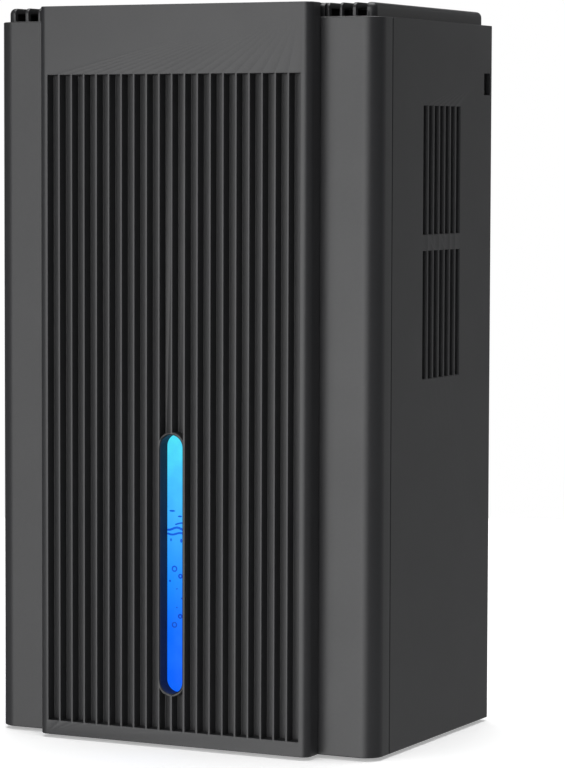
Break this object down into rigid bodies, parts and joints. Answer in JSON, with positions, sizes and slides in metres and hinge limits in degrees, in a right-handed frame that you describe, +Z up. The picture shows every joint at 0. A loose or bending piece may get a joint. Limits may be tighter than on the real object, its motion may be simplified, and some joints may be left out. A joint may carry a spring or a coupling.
{
  "type": "dehumidifier",
  "caption": "Upright thermoelectric dehumidifier with a ribbed front panel, lit level window, side vents, rear pull-out tank, fan and push buttons on top.",
  "frame": {"origin": "on the floor, under the middle of the body's width and depth", "axes": "+Z up, the ribbed front faces -Y, +X is to the right as seen from the front"},
  "size_m": [0.1922, 0.1356, 0.3315],
  "materials": {
    "casing": "satin charcoal moulded plastic with a very fine spark-eroded grain",
    "base_black": "matt black",
    "foot_rubber": "matt",
    "window_lens": "translucent, lit from behind from cyan down to deep blue",
    "control_gloss": "polished black",
    "button_plastic": "satin",
    "inner_plastic": "matt",
    "lid_plastic": "satin",
    "tank_smoke": "smoke-tinted clear",
    "circuit_board": "solder-masked board",
    "fan_plastic": "satin black",
    "foam": "closed-cell foam",
    "ceramic": "smooth off-white",
    "float_foam": "matt white",
    "aluminium": "extruded",
    "steel": "zinc-plated",
    "lead_rubber": "satin sheath"
  },
  "bodies": {
    "housing": {"front_panel": "casing", "front_shell": "casing", "rear_housing": "casing", "top_cover": "casing", "rear_cover": "casing", "base_plate": "base_black", "window_lens": "window_lens", "light_board": "circuit_board", "control_board": "circuit_board", "control_plate": "control_gloss", "partition": "inner_plastic", "drip_tray": "inner_plastic", "cell_gasket": "foam", "peltier_cell": "ceramic", "cold_heatsink": "aluminium", "hot_heatsink": "aluminium", "fan_frame": "fan_plastic", "dc_jack": "fan_plastic", "reed_switch": "ceramic", "foot_front_left": "foot_rubber", "base_screw_front_left": "steel", "foot_front_right": "foot_rubber", "base_screw_front_right": "steel", "foot_rear_left": "foot_rubber", "base_screw_rear_left": "steel", "foot_rear_right": "foot_rubber", "base_screw_rear_right": "steel", "clamp_screw_low": "steel", "rear_screw_low_left": "steel", "fan_screw_low_left": "steel", "rear_screw_low_right": "steel", "fan_screw_low_right": "steel", "clamp_screw_high": "steel", "rear_screw_high_left": "steel", "fan_screw_high_left": "steel", "rear_screw_high_right": "steel", "fan_screw_high_right": "steel", "fan_lead": "lead_rubber", "power_lead": "lead_rubber", "cell_lead": "lead_rubber", "light_lead": "lead_rubber"},
    "tank": {"water_tank": "tank_smoke", "tank_lid": "lid_plastic", "tank_door": "casing"},
    "float": {"tank_float": "float_foam", "float_magnet": "steel"},
    "fan": {"fan_rotor": "fan_plastic"},
    "power_button": {"power_button": "button_plastic"},
    "speed_button": {"speed_button": "button_plastic"},
    "light_button": {"light_button": "button_plastic"}
  },
  "joints": [
    {"name": "tank_slide", "type": "slide", "parent": "housing", "child": "tank", "axis": [0, 1, 0], "range_m": [0, 0.12]},
    {"name": "float_pivot", "type": "hinge", "parent": "tank", "child": "float", "pos_m": [-0.06, 0.0102, 0.132], "axis": [1, 0, 0], "range_deg": [0, 38]},
    {"name": "fan_spin", "type": "hinge", "parent": "housing", "child": "fan", "pos_m": [0, 0.03845, 0.2365], "axis": [0, 1, 0], "continuous": true},
    {"name": "power_press", "type": "slide", "parent": "housing", "child": "power_button", "axis": [0, 0, -1], "range_m": [0, 0.0008], "stiffness_N_per_m": 400},
    {"name": "speed_press", "type": "slide", "parent": "housing", "child": "speed_button", "axis": [0, 0, -1], "range_m": [0, 0.0008], "stiffness_N_per_m": 400},
    {"name": "light_press", "type": "slide", "parent": "housing", "child": "light_button", "axis": [0, 0, -1], "range_m": [0, 0.0008], "stiffness_N_per_m": 400}
  ]
}
